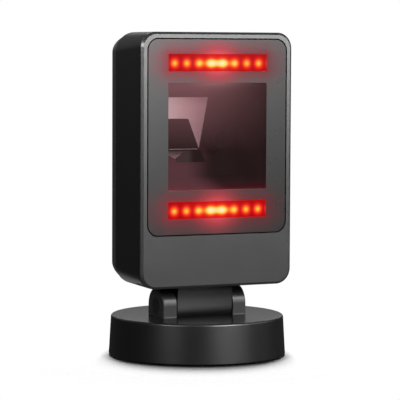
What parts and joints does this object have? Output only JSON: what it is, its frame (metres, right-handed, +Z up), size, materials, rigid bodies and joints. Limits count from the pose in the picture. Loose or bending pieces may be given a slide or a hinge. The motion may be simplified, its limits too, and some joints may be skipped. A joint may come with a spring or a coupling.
{
  "type": "hands-free barcode scanner",
  "caption": "Upright desktop barcode scanner: a flat scanning head with a tinted window and red light strips, tilting in a clevis on a weighted round base.",
  "frame": {"origin": "on the surface that the scanner stands on, under the middle of its round base", "axes": "+Z up, the scanning face looks to -Y, +X is to the right seen from the front; the tilt hinge runs along X"},
  "size_m": [0.0824, 0.0824, 0.15],
  "materials": {
    "case_black": "satin black ABS, fine moulded texture",
    "front_grey": "satin dark grey plastic",
    "panel_grey": "satin dark grey panel",
    "plate_black": "matte black plastic",
    "steel": "plain zinc-plated steel",
    "rubber": "matte black rubber",
    "bush_plastic": "natural white plastic",
    "foam_tape": "black foam tape",
    "tinted_window": "dark red-tinted acrylic, polished",
    "red_window": "red acrylic, lit from behind",
    "hood_black": "matte black plastic",
    "bracket_pale": "pale satin metal",
    "lens_glass": "coated lens glass",
    "circuit_board": "green solder mask",
    "reflector_white": "white reflector plastic",
    "led_lit": "lit red lamp",
    "wire_red": "red wire insulation",
    "ribbon": "amber flexible circuit",
    "gold_contact": "gold-plated"
  },
  "bodies": {
    "base": {"base_shell": "case_black", "base_plate": "plate_black", "base_ballast": "steel", "foot_ring": "rubber", "base_screws": "steel", "ballast_screws": "steel", "hinge_pin": "steel", "hinge_caps": "case_black"},
    "head": {"hinge_knuckle": "case_black", "hinge_bushes": "bush_plastic", "spring_washers": "steel", "knuckle_screws": "steel", "front_frame": "front_grey", "frame_screws": "steel", "panel_tape": "foam_tape", "window_panel": "panel_grey", "scan_window": "tinted_window", "led_windows": "red_window", "main_housing": "case_black", "rear_cover": "case_black", "rear_cover_screws": "steel", "optical_hood": "hood_black", "imager_bracket": "bracket_pale", "imager_engine": "hood_black", "lens_barrel": "hood_black", "camera_lens": "lens_glass", "sensor_board": "circuit_board", "led_reflectors": "reflector_white", "led_board_upper": "circuit_board", "led_board_lower": "circuit_board", "leds_upper": "led_lit", "leds_lower": "led_lit", "led_board_screws": "steel", "led_cables": "wire_red", "decoder_board": "circuit_board", "decoder_chips": "hood_black", "board_connectors": "bush_plastic", "board_screws": "steel", "beeper": "hood_black", "engine_ribbon": "ribbon", "cable_socket": "hood_black", "socket_contacts": "gold_contact"}
  },
  "joints": [
    {"name": "head_tilt", "type": "hinge", "parent": "base", "child": "head", "pos_m": [0, 0, 0.0236], "axis": [1, 0, 0], "range_deg": [-35, 30]}
  ]
}
